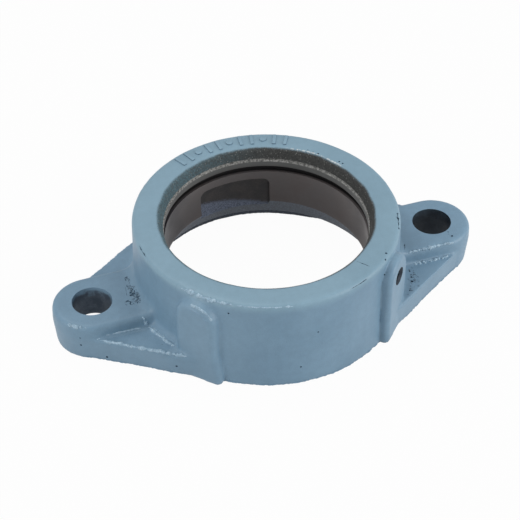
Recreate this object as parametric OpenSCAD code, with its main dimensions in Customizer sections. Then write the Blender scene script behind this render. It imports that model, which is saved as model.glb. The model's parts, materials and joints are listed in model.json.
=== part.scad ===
// Flanged housing for a self-aligning insert bearing: one iron sand casting, painted,
// with a ring round the bearing, two bolt lugs and a cored relief in the mounting side.
// The bore's axis is Z, the mounting face is at z = 0 and the lugs lie along X.

/* [Bearing seat] */
// Diameter of the spherical seat that the bearing's outer ring turns in
seat_d = 85; // [76:0.5:95]
// Height of the seat's centre above the mounting face
seat_z = 22.3; // [20.5:0.1:26]
// Reach of the machined seat below its centre
seat_below = 7; // [5:0.1:10]
// Reach of the machined seat above its centre
seat_above = 8.6; // [7:0.1:11]
// Width of the grease groove that is turned above the seat
groove_w = 3; // [2:0.1:4]
// Depth of the grease groove below the lip's bore
groove_depth = 2.2; // [1.4:0.1:3]
// Height of the turned lip in front of the groove
lip_h = 3.2; // [2:0.1:6]
// Step from the seat's radius in to the lip's radius
lip_step = 0.8; // [0.4:0.1:1.4]
// Bevel turned on the lip's front edge, where it stands out from the cast mouth
lip_bevel = 0.7; // [0.3:0.1:0.9]

/* [Ring] */
// Depth of the cast mouth in front of the lip
mouth_depth = 4.5; // [3:0.1:8]
// Widening of the cast mouth's radius from the lip to its rounded edge
mouth_flare = 1.8; // [1:0.1:4]
// Rounding of the cast mouth's edge
mouth_edge_r = 0.9; // [0.4:0.1:1.6]
// Width of the ring's flat front face
face_w = 9.6; // [7:0.1:14]
// Rounding of the front face's outer edge
face_edge_r = 1.4; // [0.6:0.1:2.5]
// Draft of the cast walls in degrees
draft = 1.1; // [0.5:0.1:2]

/* [Loading slots] */
// Width of the two slots through which the bearing is put in sideways
slot_w = 31; // [24:0.5:36]
// Depth of the slots beyond the seat's radius
slot_depth = 1.8; // [1:0.1:2.6]
// Height of the slots above the seat's centre
slot_above = 4.2; // [2:0.1:6]
// Rounding of the slots' upper corners
slot_corner_r = 3; // [1:0.1:5]

/* [Lugs] */
// Distance between the two bolt holes
bolt_spacing = 149; // [142:0.5:166]
// Diameter of the bolt holes
bolt_d = 16.4; // [12:0.2:18]
// Width of the lug beside its bolt hole
lug_wall = 7.3; // [6:0.1:11]
// Distance by which the lug's round end lies outside the bolt hole's centre
lug_out = 0.8; // [0:0.1:3]
// Height of the flat bolt pads
pad_h = 17.3; // [15.5:0.1:20]
// Rounding of the bolt pads' upper edge
pad_edge_r = 2.2; // [0.6:0.1:2.6]
// Height of the lower flange on both sides of the pads
flange_h = 11; // [8.5:0.1:13]
// Distance by which the flange's sides pass outside the ring's foot
flange_out = 1.2; // [0.6:0.1:2]
// Distance by which the lugs draw in from the parting line down to the mounting face
lug_taper = 1; // [0.2:0.1:1.6]

/* [Mounting side] */
// Depth of the cored relief in the mounting side
relief_depth = 3; // [1.5:0.1:4.5]
// Width of the rim that is left round the relief
rim_w = 3.8; // [3:0.1:5]
// Ledge between the rim and the flared mouth of the bore
flare_ledge = 1.3; // [0.6:0.1:2]

/* [Grease bosses] */
// Angle of the two bosses from the line through the bolt holes
boss_angle = 43.5; // [40:0.5:50]
// Width of a boss, with a half-round top
boss_w = 17.5; // [14:0.5:20]
// Height of a boss's face above the ring's foot
boss_out = 2.8; // [2:0.1:5]
// Bevel round a boss's face
boss_edge = 1; // [0.5:0.1:1.5]
// Diameter of the tapped grease hole
grease_d = 5.6; // [4:0.1:7]
// Depth of the grease hole's countersink
grease_sink = 0.6; // [0.2:0.1:1]
// Distance of the grease hole's axis below the middle of the groove
grease_below = 2.4; // [0.5:0.1:3]

/* [Cast blends] */
// Radius of the blend between a lug and the ring
ring_blend_r = 5; // [2:0.1:6]
// Radius of the blend between a bolt pad and the lower flange
pad_blend_r = 1.6; // [0.8:0.1:3]

/* [Hidden] */
$fn = 96;

// Steps in a rounded corner or a blend
round_steps = 5;
// Steps in the half-round top of a boss
arch_steps = 16;
// Length by which a cut runs past the face that it opens
past = 1;
// Depth to which a blend is set into the faces it joins
set_in = 0.15;
// Distance by which a flange side runs inside the lug's round end
lug_lap = 0.4;
// Angle by which a flange side runs on into a boss
boss_lap = 5;
// Angle by which the other flange side runs out along the ring
ring_lap = 19;

// Heights, from the mounting face up
seat_low_z = seat_z - seat_below;
groove_z = seat_z + seat_above;
lip_z = groove_z + groove_w;
mouth_z = lip_z + lip_h;
ring_h = mouth_z + mouth_depth;
grease_z = groove_z + groove_w / 2 - grease_below;

// Radii about the bore's axis
seat_r = seat_d / 2;
seat_low_r = sqrt(pow(seat_r, 2) - pow(seat_below, 2));
lip_r = seat_r - lip_step;
mouth_r = lip_r + mouth_flare;
slot_r = seat_r + slot_depth;
face_r = mouth_r + mouth_edge_r + face_w;
foot_r = face_r + ring_h * tan(draft);
rim_r = foot_r - rim_w;
flare_r = rim_r - flare_ledge;
boss_r = foot_r + boss_out;

// Lugs
bolt_x = bolt_spacing / 2;
lug_x = bolt_x + lug_out;
lug_r = bolt_d / 2 + lug_wall;
flange_r = foot_r + flange_out;
flange_angle = asin((flange_r - lug_r + lug_lap) / lug_x);

// Points on an arc, from angle a0 to angle a1 in the given number of steps
function arc(x, y, r, a0, a1, steps) =
    [for (i = [0:steps]) [x, y] + r * [cos(a0 + (a1 - a0) * i / steps), sin(a0 + (a1 - a0) * i / steps)]];

// The ring's drafted outer radius at a height
function wall_r(z) = foot_r - z * tan(draft);

// Unit vector square to a flange side
flange_normal = [sin(flange_angle), cos(flange_angle)];

// Corners of the lower flange of the lug on +X, drawn in by an inset: on +Y its side touches
// the ring and runs out along it, and on -Y it ends in the boss
function flange_corners(inset) = let (
    at_lug = [lug_x, 0] + (lug_r - lug_lap - inset) * flange_normal,
    at_ring = (flange_r - inset) * flange_normal,
    out = 90 - flange_angle + ring_lap,
    run_out = (foot_r - 2 * set_in - inset) * [cos(out), sin(out)],
    end = boss_angle + boss_lap,
    at_boss = (flange_r - inset) / sin(flange_angle + end) * [cos(end), -sin(end)])
    [at_lug, at_ring, run_out, at_boss, [at_lug[0], -at_lug[1]]];

// The lower flange of the lug on +X, drawn in towards the mounting face
module lower_flange() {
    low = flange_corners(lug_taper);
    high = flange_corners(0);
    n = len(low);
    polyhedron(
        concat(
            [for (corner = low) [corner[0], corner[1], 0]],
            [for (corner = high) [corner[0], corner[1], flange_h]]),
        concat(
            [[for (i = [0:n - 1]) i], [for (i = [n - 1:-1:0]) i + n]],
            [for (i = [0:n - 1]) [i, i + n, (i + 1) % n + n]],
            [for (i = [0:n - 1]) [i, (i + 1) % n + n, (i + 1) % n]]));
}

// The solid ring before it is bored, with drafted walls and a rounded front edge
module ring_blank()
    rotate_extrude()
        polygon(concat(
            [[0, 0], [foot_r, 0]],
            arc(face_r - face_edge_r, ring_h - face_edge_r, face_edge_r, 0, 90, round_steps),
            [[0, ring_h]]));

// A bolt pad's drafted half width at a height above the parting line
function pad_r(z) = lug_r - (z - flange_h) * tan(draft);

// Half section of a bolt pad from its middle to its flank, widest at the parting line
function pad_half() = let (top_r = pad_r(pad_h)) concat(
    [[0, 0], [lug_r - lug_taper, 0], [lug_r, flange_h]],
    arc(top_r - pad_edge_r, pad_h - pad_edge_r, pad_edge_r, 0, 90, round_steps),
    [[0, pad_h]]);

// Bolt pad of the lug on +X: a half-round end and a straight bar that runs into the ring
module bolt_pad() {
    half = pad_half();
    translate([lug_x, 0, 0])
        rotate([0, 0, -90])
            rotate_extrude(angle = 180)
                polygon(half);
    translate([seat_r, 0, 0])
        rotate([90, 0, 90])
            linear_extrude(lug_x - seat_r)
                polygon(concat(half, [for (i = [len(half) - 2:-1:1]) [-half[i][0], half[i][1]]]));
}

// Blend between the ring and a lug surface at height z, rooted to a depth below it and cut to
// the plan given as child
module ring_blend(z, depth) {
    r = wall_r(z) - set_in;
    low = z - set_in;
    root = z - depth;
    intersection() {
        rotate_extrude()
            polygon(concat(
                [[seat_r, root], [r + ring_blend_r, root]],
                arc(r + ring_blend_r, low + ring_blend_r, ring_blend_r, 270, 180, round_steps),
                [[seat_r, low + ring_blend_r]]));
        linear_extrude(ring_h)
            children();
    }
}

// Blends along both flanks of a bolt pad, where they meet the lower flange
module pad_blends()
    intersection() {
        for (side = [0, 1])
            mirror([0, side, 0])
                translate([seat_r, 0, 0])
                    rotate([90, 0, 90])
                        linear_extrude(lug_x - seat_r)
                            pad_blend_section();
        linear_extrude(ring_h)
            polygon(flange_corners(set_in));
    }

module pad_blend_section() {
    y = lug_r - set_in;
    z = flange_h - set_in;
    polygon(concat(
        [[0, z - past], [y + pad_blend_r, z - past]],
        arc(y + pad_blend_r, z + pad_blend_r, pad_blend_r, 270, 180, round_steps),
        [[0, z + pad_blend_r]]));
}

// The lug on +X with its pad, its lower flange and the blends between them
module lug() {
    bolt_pad();
    lower_flange();
    pad_blends();
    ring_blend(flange_h, past)
        polygon(flange_corners(set_in));
    ring_blend(pad_h, pad_edge_r + past)
        translate([seat_r, -pad_r(pad_h)])
            square([bolt_x - seat_r, 2 * pad_r(pad_h)]);
}

// Outline of a boss seen along its hole, drawn in by an inset
module boss_outline(inset = 0)
    polygon(concat(
        [[boss_w / 2 - inset, 0]],
        arc(0, grease_z, boss_w / 2 - inset, 0, 180, arch_steps),
        [[inset - boss_w / 2, 0]]));

// Boss on the ring at an angle, with a flat face and a bevel round it
module grease_boss(angle)
    rotate([90, 0, 90 + angle])
        hull() {
            linear_extrude(boss_r - boss_edge)
                boss_outline();
            linear_extrude(boss_r)
                boss_outline(boss_edge);
        }

// Section of everything that is cored and turned round the bore's axis
module bore_section() {
    polygon(concat(
        [[0, ring_h + past], [0, lip_z - past], [lip_r, lip_z - past], [lip_r, mouth_z - lip_bevel],
            [lip_r + lip_bevel, mouth_z]],
        arc(mouth_r + mouth_edge_r, ring_h - mouth_edge_r, mouth_edge_r, 180, 90, round_steps),
        [[mouth_r + mouth_edge_r, ring_h + past]]));
    translate([0, groove_z])
        square([lip_r + groove_depth, groove_w]);
    intersection() {
        translate([0, seat_z])
            circle(seat_r);
        translate([0, seat_low_z])
            square([seat_r + past, seat_below + seat_above + past]);
    }
    polygon([[0, relief_depth - past], [flare_r, relief_depth - past], [flare_r, relief_depth],
        [seat_low_r, seat_low_z], [seat_low_r, seat_low_z + past], [0, seat_low_z + past]]);
}

// The two loading slots, cut across the bore from the mounting side
module loading_slots() {
    top = seat_z + slot_above;
    corner = slot_w / 2 - slot_corner_r;
    intersection() {
        translate([0, 0, -past])
            cylinder(r = slot_r, h = top + 2 * past);
        rotate([90, 0, 0])
            linear_extrude(2 * foot_r, center = true)
                polygon(concat(
                    [[-slot_w / 2, -past], [slot_w / 2, -past]],
                    arc(corner, top - slot_corner_r, slot_corner_r, 0, 90, round_steps),
                    arc(-corner, top - slot_corner_r, slot_corner_r, 90, 180, round_steps)));
    }
}

// The cored relief inside the rim of the mounting side
module relief()
    translate([0, 0, -past])
        linear_extrude(relief_depth + past) {
            circle(rim_r);
            for (side = [0, 1])
                mirror([side, 0]) {
                    polygon(flange_corners(lug_taper + rim_w));
                    translate([lug_x, 0])
                        circle(lug_r - lug_taper - rim_w);
                }
        }

// The tapped grease hole at an angle, from a boss's face into the groove
module grease_hole(angle)
    rotate([0, 0, angle])
        translate([0, 0, grease_z])
            rotate([0, 90, 0]) {
                translate([0, 0, lip_r])
                    cylinder(d = grease_d, h = boss_r - lip_r + past);
                translate([0, 0, boss_r - grease_sink])
                    cylinder(d1 = grease_d, d2 = grease_d + 4 * grease_sink, h = 2 * grease_sink);
            }

module housing()
    color("slategray")
        difference() {
            union() {
                ring_blank();
                for (side = [0, 1])
                    mirror([side, 0, 0])
                        lug();
                for (angle = [-boss_angle, boss_angle - 180])
                    grease_boss(angle);
            }
            rotate_extrude()
                intersection() {
                    bore_section();
                    square(2 * foot_r);
                }
            loading_slots();
            relief();
            for (side = [-1, 1])
                translate([side * bolt_x, 0, -past])
                    cylinder(d = bolt_d, h = pad_h + 2 * past);
            grease_hole(-boss_angle);
        }

housing();
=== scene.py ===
# %% [markdown]
# # A flanged bearing housing
# The real object is made in two stages: iron is poured into a sand mould, and the rough
# casting is then bored, drilled and painted. This lesson follows the same order. A copy of the
# CAD solid becomes the rough casting, turned and drilled surfaces are cut into it with crisp
# tools, and each tool carries the finish of the surface that it leaves behind.

# %% Load the frame
import json
import random
from math import atan2, cos, pi, radians, sin, sqrt

import bpy
from mathutils import Matrix, Vector, noise


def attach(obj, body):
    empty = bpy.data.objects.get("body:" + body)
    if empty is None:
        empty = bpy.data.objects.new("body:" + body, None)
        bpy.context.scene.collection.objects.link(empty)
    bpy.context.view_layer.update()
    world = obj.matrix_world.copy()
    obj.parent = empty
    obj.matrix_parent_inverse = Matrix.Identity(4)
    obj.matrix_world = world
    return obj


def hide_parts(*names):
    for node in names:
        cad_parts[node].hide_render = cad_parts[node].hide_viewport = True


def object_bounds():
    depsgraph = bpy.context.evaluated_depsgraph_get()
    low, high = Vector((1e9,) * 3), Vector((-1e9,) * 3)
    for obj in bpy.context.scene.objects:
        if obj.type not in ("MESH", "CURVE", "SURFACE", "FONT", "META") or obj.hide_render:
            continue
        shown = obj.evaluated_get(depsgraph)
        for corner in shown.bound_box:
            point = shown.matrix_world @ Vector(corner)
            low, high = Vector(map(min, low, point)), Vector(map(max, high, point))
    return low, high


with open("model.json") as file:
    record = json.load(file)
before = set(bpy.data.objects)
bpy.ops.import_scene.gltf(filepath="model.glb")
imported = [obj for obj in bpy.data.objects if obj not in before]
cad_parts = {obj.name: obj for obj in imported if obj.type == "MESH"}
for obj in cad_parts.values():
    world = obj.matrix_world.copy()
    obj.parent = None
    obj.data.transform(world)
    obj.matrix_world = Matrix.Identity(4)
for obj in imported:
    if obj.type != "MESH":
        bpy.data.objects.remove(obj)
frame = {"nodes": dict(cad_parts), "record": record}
cad_low, cad_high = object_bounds()
MM = 0.001
print("CAD box in mm:", [round(x / MM, 1) for x in (*cad_low, *cad_high)])

# %% [markdown]
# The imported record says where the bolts, the bearing and the grease nipple go. Reading the
# sizes from there keeps every cut on the axis that the CAD gives it. The few sizes that belong
# to no mount, such as the groove, are named here.

# %% Sizes of the machined surfaces
mounts = {mount["name"]: mount for mount in frame["record"]["mounts"]}
BOLT_X = mounts["bolt_holes"]["dims"]["spacing_x_mm"] * MM / 2
BOLT_R = mounts["bolt_holes"]["dims"]["hole_r_mm"] * MM
PAD_Z = mounts["bolt_holes"]["pos_m"][2]
SEAT_R = mounts["bearing_seat"]["dims"]["r_mm"] * MM
SEAT_Z = mounts["bearing_seat"]["pos_m"][2]
LIP_R = mounts["front_bore"]["dims"]["r_mm"] * MM
LIP_HALF = mounts["front_bore"]["dims"]["length_mm"] * MM / 2
LIP_LOW = mounts["front_bore"]["pos_m"][2] - LIP_HALF
LIP_HIGH = mounts["front_bore"]["pos_m"][2] + LIP_HALF
GREASE_R = mounts["grease_hole"]["dims"]["r_mm"] * MM
GREASE_AT = Vector(mounts["grease_hole"]["pos_m"])
GREASE_OUT = Vector(mounts["grease_hole"]["axis"])
RING_TOP = cad_high.z
LIP_BEVEL = 0.7 * MM
MOUTH_LOW = LIP_HIGH + LIP_BEVEL
GROOVE_H = 3.0 * MM
GROOVE_R = LIP_R + 2.2 * MM
SEAT_LOW = SEAT_Z - 7.0 * MM
SEAT_TOP = LIP_LOW - GROOVE_H
SEAT_LOW_R = sqrt(SEAT_R ** 2 - (SEAT_Z - SEAT_LOW) ** 2)
SLOT_R = SEAT_R + 1.8 * MM
SLOT_W = 31.0 * MM
SLOT_TOP = SEAT_Z + 4.2 * MM
SLOT_CORNER = 3.0 * MM
lip_span = [round(height / MM, 1) for height in (LIP_LOW, LIP_HIGH)]
print("seat radius", round(SEAT_R / MM, 2), "mm, lip from", *lip_span, "mm up")

# %% [markdown]
# The camera stands where the photograph was taken from, a little to the left of the front and
# well above it. A long lens keeps the two lugs at nearly the same size. The aim point lies a
# little off the bore's axis, so the camera is moved sideways and not turned.

# %% Camera
VIEW_TURN = radians(-19.4)
VIEW_RISE = radians(41.779)
VIEW_DISTANCE = 721.9 * MM
VIEW_RIGHT = -2.57 * MM
VIEW_UP = 13.01 * MM
FRAME_PX = 520
FOCAL_PX = 1717
SENSOR_MM = 36

level = cos(VIEW_RISE)
back = Vector((sin(VIEW_TURN) * level, -cos(VIEW_TURN) * level, sin(VIEW_RISE)))
right = Vector((cos(VIEW_TURN), sin(VIEW_TURN), 0))
up = back.cross(right)
eye = VIEW_DISTANCE * back + VIEW_RIGHT * right + VIEW_UP * up
turn = Matrix((right, up, back)).transposed().to_euler()
bpy.ops.object.camera_add(location=eye, rotation=turn)
camera = bpy.context.object
camera.data.sensor_width = SENSOR_MM
camera.data.lens = SENSOR_MM * FOCAL_PX / FRAME_PX
bpy.context.scene.camera = camera
bpy.context.scene.view_settings.view_transform = "Standard"
print("camera at", [round(x, 3) for x in eye], "lens", round(camera.data.lens, 1), "mm")

# %% [markdown]
# Every finish below is a small net of shader nodes. These helpers add one node at a time and
# keep the nets short enough to read. One chooses the net to work on, one places a node, and
# others do arithmetic, make soft masks, mix or shade colours, begin a group or a material, and
# feed a bump.

# %% Helpers for finishes
net = None


def work_on(tree):
    """Chooses the net that the helpers below add their nodes to."""
    global net
    net = tree


def place(kind, values=None, **options):
    """Adds a node, sets its options, then fills or links its inputs."""
    made = net.nodes.new("ShaderNode" + kind)
    for name, option in options.items():
        setattr(made, name, option)
    for key, value in (values or {}).items():
        if isinstance(value, bpy.types.NodeSocket):
            net.links.new(value, made.inputs[key])
        else:
            made.inputs[key].default_value = value
    return made


def calc(operation, *terms):
    """One step of arithmetic on numbers or sockets."""
    return place("Math", dict(enumerate(terms)), operation=operation).outputs[0]


def product(*terms):
    """Masks or numbers multiplied together."""
    whole = terms[0]
    for term in terms[1:]:
        whole = calc("MULTIPLY", whole, term)
    return whole


def apart(value, middle):
    """How far a value lies from a middle, on either side."""
    return calc("ABSOLUTE", calc("SUBTRACT", value, middle))


def between(value, start, end):
    """A mask that goes smoothly from 0 at start to 1 at end."""
    values = {"Value": value, "From Min": start, "From Max": end}
    return place("MapRange", values, interpolation_type="SMOOTHSTEP").outputs[0]


def mixed(share, first, second):
    """A colour between two colours."""
    return place("Mix", {0: share, 6: first, 7: second}, data_type="RGBA").outputs[2]


def shaded(colour, value, low, high):
    """A colour made darker or lighter by a value from 0 to 1."""
    factor = calc("MULTIPLY_ADD", value, high - low, low)
    return place("VectorMath", {0: colour, "Scale": factor}, operation="SCALE").outputs[0]


def finish_group(name, inputs, outputs):
    """An empty node group with number inputs and outputs, ready to be filled."""
    group = bpy.data.node_groups.new(name, "ShaderNodeTree")
    for label, value in inputs.items():
        socket = group.interface.new_socket(label, in_out="INPUT", socket_type="NodeSocketFloat")
        socket.default_value = value
    for label in outputs:
        group.interface.new_socket(label, in_out="OUTPUT", socket_type="NodeSocketFloat")
    work_on(group)
    entry = group.nodes.new("NodeGroupInput").outputs
    result = group.nodes.new("NodeGroupOutput").inputs
    return group, entry, result


def new_finish(name, roughness, metallic=0.0, specular=0.5):
    """A material with its shader's plain numbers set, ready for its net."""
    material = bpy.data.materials.new(name)
    material.use_nodes = True
    shader = material.node_tree.nodes["Principled BSDF"]
    shader.inputs["Roughness"].default_value = roughness
    shader.inputs["Metallic"].default_value = metallic
    shader.inputs["Specular IOR Level"].default_value = specular
    work_on(material.node_tree)
    return material, shader


def bumped(shader, height, strength, depth):
    """Lets a height shape the light on a finish, with its depth in mm."""
    bump = place("Bump", {"Height": height, "Strength": strength, "Distance": depth * MM})
    net.links.new(bump.outputs[0], shader.inputs["Normal"])


# %% [markdown]
# A housing for a catalogue is shot on white under soft light from all round, so the shadows
# are faint. The world gives the even light. Two large lamps stand low at the left and right, so
# the walls get nearly as much light as the upper faces, and a third hangs above and behind. The
# white is there for the camera, and the floor's also for reflections, but it sheds no light on
# the walls. A small share of the floor is plain paper, which keeps a faint shadow.

# %% World, floor and lamps
WORLD_LIGHT = 0.6
LAMPS = (
    ("left_lamp", Vector((-1.2, -0.45, 0.25)), 0.8, 5.4),
    ("right_lamp", Vector((1.0, -0.7, 0.36)), 0.8, 8.6),
    ("top_lamp", Vector((-0.25, 0.30, 1.15)), 1.0, 4.6),
)
FLOOR_SIZE = 6
FLOOR_GREY = (0.5, 0.5, 0.5, 1)
FLOOR_WHITE_SHARE = 0.97
FLOOR_GAP = 0.02 * MM


def deselect():
    """Leaves nothing selected, so that the next step works on its own object only."""
    bpy.ops.object.select_all(action="DESELECT")


world = bpy.data.worlds.new("studio")
bpy.context.scene.world = world
world.use_nodes = True
work_on(world.node_tree)
light = net.nodes["Background"]
light.inputs["Color"].default_value = (1, 1, 1, 1)
light.inputs["Strength"].default_value = WORLD_LIGHT
white = place("Background", {"Color": (1, 1, 1, 1), "Strength": 1})
seen = place("LightPath").outputs["Is Camera Ray"]
choose = place("MixShader", {0: seen, 1: light.outputs[0], 2: white.outputs[0]})
net.links.new(choose.outputs[0], net.nodes["World Output"].inputs["Surface"])

deselect()
bpy.ops.mesh.primitive_plane_add(size=FLOOR_SIZE, location=(0, 0, -FLOOR_GAP))
floor = bpy.context.object
floor.name = "floor"
floor_paper = bpy.data.materials.new("floor_paper")
floor_paper.use_nodes = True
work_on(floor_paper.node_tree)
net.nodes.remove(net.nodes["Principled BSDF"])
paper = place("BsdfDiffuse", {"Color": FLOOR_GREY})
glow = place("Emission", {"Strength": 1})
path = place("LightPath").outputs
seen = calc("MAXIMUM", path["Is Camera Ray"], path["Is Glossy Ray"])
seen = calc("MAXIMUM", seen, path["Is Transmission Ray"])
share = calc("MULTIPLY", seen, FLOOR_WHITE_SHARE)
choose = place("MixShader", {0: share, 1: paper.outputs[0], 2: glow.outputs[0]})
net.links.new(choose.outputs[0], net.nodes["Material Output"].inputs["Surface"])
floor.data.materials.append(floor_paper)

for name, place_at, size, power in LAMPS:
    bpy.ops.object.light_add(type="AREA", location=place_at)
    lamp = bpy.context.object
    lamp.name = name
    lamp.data.shape = "DISK"
    lamp.data.size = size
    lamp.data.energy = power
    lamp.rotation_euler = (-place_at).to_track_quat("-Z", "Y").to_euler()
    print(name, "of", power, "W")

# %% [markdown]
# Several finishes share the same effects, so each effect is a node group: where a point lies on
# the housing, the grain that sand leaves in iron, scattered specks, and a slow drift of tone.
# They read Object coordinates, which are metres on the housing itself, so the grain has its
# true size and stays on the iron from every side.

# %% Shared effects
NOISE_SPAN = (0.3, 0.7)
LUMP_SCALE = 0.3

on_housing, entry, result = finish_group("place_on_housing", {}, ["Radius", "Height", "Turn", "Aside"])
at = place("TexCoord").outputs["Object"]
flat = place("VectorMath", {0: at, 1: (1 / MM, 1 / MM, 0)}, operation="MULTIPLY")
radius = place("VectorMath", {0: flat.outputs[0]}, operation="LENGTH").outputs["Value"]
on_housing.links.new(radius, result["Radius"])
axes = place("SeparateXYZ", {0: at}).outputs
on_housing.links.new(calc("MULTIPLY", axes["Z"], 1 / MM), result["Height"])
turn = calc("DEGREES", calc("ARCTAN2", axes["Y"], axes["X"]))
on_housing.links.new(turn, result["Turn"])
on_housing.links.new(calc("ABSOLUTE", turn), result["Aside"])

sand_grain, entry, result = finish_group("sand_grain", {"Size": 0.6}, ["Height", "Shade"])
at = place("TexCoord").outputs["Object"]
scale = calc("DIVIDE", 1 / MM, entry["Size"])
settings = {"Vector": at, "Scale": scale, "Detail": 3, "Roughness": 0.6}
fine = place("TexNoise", settings).outputs[0]
settings = {"Vector": at, "Scale": calc("MULTIPLY", scale, LUMP_SCALE), "Detail": 2}
lump = place("TexNoise", settings).outputs[0]
sand_grain.links.new(calc("ADD", fine, lump), result["Height"])
sand_grain.links.new(between(fine, *NOISE_SPAN), result["Shade"])

specks, entry, result = finish_group("specks", {"Spacing": 4, "Share": 0.3, "Size": 0.1}, ["Mask"])
at = place("TexCoord").outputs["Object"]
scale = calc("DIVIDE", 1 / MM, entry["Spacing"])
cells = place("TexVoronoi", {"Vector": at, "Scale": scale})
pick = place("SeparateColor", {0: cells.outputs["Color"]}).outputs[0]
chosen = calc("LESS_THAN", pick, entry["Share"])
dot = between(cells.outputs["Distance"], entry["Size"], 0)
specks.links.new(calc("MULTIPLY", chosen, dot), result["Mask"])

slow_drift, entry, result = finish_group("slow_drift", {"Size": 20}, ["Drift"])
at = place("TexCoord").outputs["Object"]
scale = calc("DIVIDE", 1 / MM, entry["Size"])
cloud = place("TexNoise", {"Vector": at, "Scale": scale, "Detail": 4}).outputs[0]
slow_drift.links.new(between(cloud, *NOISE_SPAN), result["Drift"])


def use(group, output, **values):
    """Places a shared effect in a material and gives one of its outputs."""
    settings = {name.capitalize(): value for name, value in values.items()}
    return place("Group", settings, node_tree=group).outputs[output]


def grains(size):
    """The light and dark of sand grains of a size in mm."""
    return use(sand_grain, "Shade", size=size)


def drift(size):
    """A slow drift of tone, with its swells in mm."""
    return use(slow_drift, "Drift", size=size)


print("shared effects:", [group.name for group in (on_housing, sand_grain, specks, slow_drift)])

# %% [markdown]
# The paint is a thin blue-grey coat that was sprayed over the sand-cast skin. Its tone drifts
# over the part. The front face is painted lighter, a painted highlight where the upper face takes
# the most light, and the corners between pads and ring are painted darker, a painted shade. The
# grain of the sand shows through, and a few dark specks lie on it. Each step changes the colour
# only where a mask says so, because the skin is one mesh.

# %% Painted casting
PAINT_DEEP = (0.143, 0.245, 0.340, 1)
PAINT_LIGHT = (0.169, 0.280, 0.381, 1)
SPECK_DARK = (0.045, 0.070, 0.095, 1)
FACE_HIGHLIGHT_PAINT = (0.231, 0.344, 0.363, 1)
FACE_HIGHLIGHT_SHARE = 0.3
FACE_LIGHT_GAIN = 1.15
FACE_LIGHT_RISE = (RING_TOP / MM - 4, RING_TOP / MM)
LUG_TURN = (70, 78)
LUG_FALL = (PAD_Z / MM + 5, PAD_Z / MM + 1)
CORNER_SHADE_FALL = (74, 60)
CORNER_SHADE_GAIN = 0.88

paint, shader = new_finish("blue_grey_paint", 0.45)
where = place("Group", node_tree=on_housing).outputs
radius, height, turn, aside = (where[name] for name in ("Radius", "Height", "Turn", "Aside"))
grain = grains(0.5)
coat = mixed(drift(28), PAINT_DEEP, PAINT_LIGHT)
coat = shaded(coat, drift(3), 0.97, 1.03)
coat = shaded(coat, grain, 0.96, 1.04)
# Painted highlight: the front face is made lighter and paler, as the upper face takes the most light.
lit_face = between(height, *FACE_LIGHT_RISE)
coat = shaded(coat, lit_face, 1, FACE_LIGHT_GAIN)
coat = mixed(product(lit_face, FACE_HIGHLIGHT_SHARE), coat, FACE_HIGHLIGHT_PAINT)
# Painted shade: the corners between the pads and the ring are made darker.
on_lugs = between(apart(aside, 90), *LUG_TURN)
low_down = between(height, *LUG_FALL)
corner = product(on_lugs, low_down, between(radius, *CORNER_SHADE_FALL))
coat = shaded(coat, corner, 1, CORNER_SHADE_GAIN)
dots = use(specks, "Mask", spacing=6, share=0.08, size=0.06)
coat = mixed(dots, coat, SPECK_DARK)
print(paint.name, "has", len(net.nodes), "nodes for its coat")

# %% [markdown]
# The spray hardly reached the cast mouth in front of the lip, so bare dark iron with glittering
# grains shows there, with a dust of paint on the left. A noise added to the radius makes the
# paint's edge ragged. On the far right a pale band is painted along the rounded edge, a painted
# highlight where the edge catches the light, broken into ragged flakes.

# %% Bare iron in the mouth
BARE_DARK = (0.010, 0.011, 0.011, 1)
BARE_MID = (0.050, 0.052, 0.050, 1)
BARE_LIGHT = (0.23, 0.23, 0.22, 1)
DUST_BLUE = (0.066, 0.132, 0.162, 1)
DUST_SIDE = (65, 135)
RIM_HIGHLIGHT = (0.55, 0.60, 0.62, 1)
HIGHLIGHT_START = (22, 30)
HIGHLIGHT_END = (62, 52)
HIGHLIGHT_HALF = (0.5, 0.15)
HIGHLIGHT_BREAK_SPAN = (0.35, 0.6)
FRONT_RISE = (25, 26)
RAGGED = 0.4
MOUTH_EDGE = LIP_R / MM + 2.3
BARE_EDGE = (MOUTH_EDGE + 1.15, MOUTH_EDGE - 0.05)
HIGHLIGHT_R = MOUTH_EDGE + 1.0
LIP_FALL = (MOUTH_LOW / MM + 0.7, MOUTH_LOW / MM + 0.1)

in_front = between(height, *FRONT_RISE)
jitter = calc("ADD", grains(0.35), drift(9))
ragged = calc("MULTIPLY_ADD", jitter, RAGGED, radius)
bare = product(in_front, between(ragged, *BARE_EDGE))
# Painted highlight: a pale, broken band along the paint's rounded edge on the far right.
rim_highlight = between(apart(ragged, HIGHLIGHT_R), *HIGHLIGHT_HALF)
highlight_zone = product(between(turn, *HIGHLIGHT_START), between(turn, *HIGHLIGHT_END))
highlight_breaks = between(drift(1.5), *HIGHLIGHT_BREAK_SPAN)
coat = mixed(product(rim_highlight, highlight_zone, highlight_breaks, in_front), coat, RIM_HIGHLIGHT)
iron = mixed(grains(0.42), BARE_DARK, BARE_MID)
speckle = calc("MULTIPLY_ADD", grains(0.8), 0.7, 0.3)
iron = mixed(product(between(aside, *DUST_SIDE), speckle), iron, DUST_BLUE)
glint = use(specks, "Mask", spacing=0.6, share=0.16, size=0.5)
by_lip = product(between(height, *LIP_FALL), grains(0.6))
iron = mixed(calc("MAXIMUM", glint, by_lip), iron, BARE_LIGHT)
coat = mixed(bare, coat, iron)
print(paint.name, "has", len(net.nodes), "nodes with the mouth")

# %% [markdown]
# The flare behind the seat got a thin dusty coat. Bare and dusty iron is duller than paint, and
# on bare iron the grain stands out more, so the same masks drive the roughness and the bump.

# %% Dusty flare
FLARE_DARK = (0.032, 0.041, 0.053, 1)
FLARE_DUST = (0.105, 0.135, 0.185, 1)
FLARE_FALL = (53.6, 52.0)

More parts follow.
